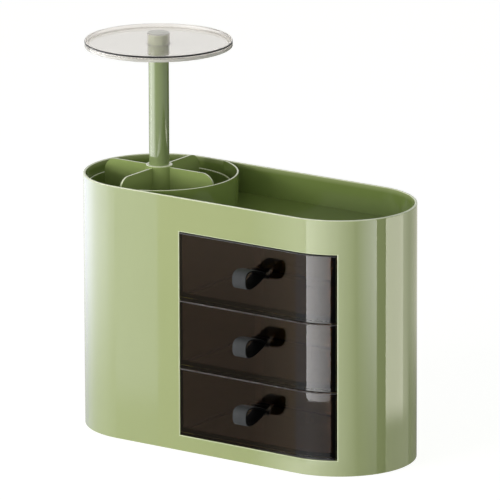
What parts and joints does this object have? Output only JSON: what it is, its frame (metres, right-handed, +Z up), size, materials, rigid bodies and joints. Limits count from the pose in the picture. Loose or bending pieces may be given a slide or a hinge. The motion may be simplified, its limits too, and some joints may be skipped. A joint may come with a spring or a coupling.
{
  "type": "makeup organizer",
  "caption": "Stadium-shaped cosmetics organizer with tinted clear pull-out drawers, open top tray and a turning brush carousel under a clear round display tray.",
  "frame": {"origin": "centre of the body's underside, on the table", "axes": "+X along the body to the viewer's right when facing the drawers, -Y is the front that the drawers open towards, +Z up"},
  "size_m": [0.317, 0.1595, 0.3429],
  "materials": {
    "green_plastic": "glossy moulded ABS, sage green",
    "smoke_plastic": "clear polystyrene, smoke brown tint, polished",
    "clear_plastic": "clear polystyrene, faint grey tint, polished",
    "black_strap": "soft moulded strap, satin black",
    "steel": "plain zinc-plated screws and washer",
    "white_plastic": "natural acetal, low friction"
  },
  "bodies": {
    "housing": {"body_shell": "green_plastic", "base_plate": "green_plastic", "base_screws": "steel", "top_deck": "green_plastic", "bay_panel_left": "green_plastic", "bay_panel_right": "green_plastic", "well_shelf": "green_plastic", "shelf_screws": "steel", "glide_ring": "white_plastic", "pivot_washer": "steel", "pivot_screw": "steel"},
    "carousel": {"carousel_cup": "green_plastic", "carousel_divider": "green_plastic", "carousel_post": "green_plastic", "display_tray": "clear_plastic"},
    "upper_drawer": {"drawer_top": "smoke_plastic", "pull_top": "black_strap", "anchor_top": "smoke_plastic"},
    "centre_drawer": {"drawer_middle": "smoke_plastic", "pull_middle": "black_strap", "anchor_middle": "smoke_plastic"},
    "lower_drawer": {"drawer_bottom": "smoke_plastic", "pull_bottom": "black_strap", "anchor_bottom": "smoke_plastic"}
  },
  "joints": [
    {"name": "carousel_turn", "type": "hinge", "parent": "housing", "child": "carousel", "pos_m": [-0.0935, 0, 0.1215], "axis": [0, 0, 1], "continuous": true},
    {"name": "upper_drawer_slide", "type": "slide", "parent": "housing", "child": "upper_drawer", "axis": [0, -1, 0], "range_m": [0, 0.089]},
    {"name": "centre_drawer_slide", "type": "slide", "parent": "housing", "child": "centre_drawer", "axis": [0, -1, 0], "range_m": [0, 0.089]},
    {"name": "lower_drawer_slide", "type": "slide", "parent": "housing", "child": "lower_drawer", "axis": [0, -1, 0], "range_m": [0, 0.089]}
  ]
}
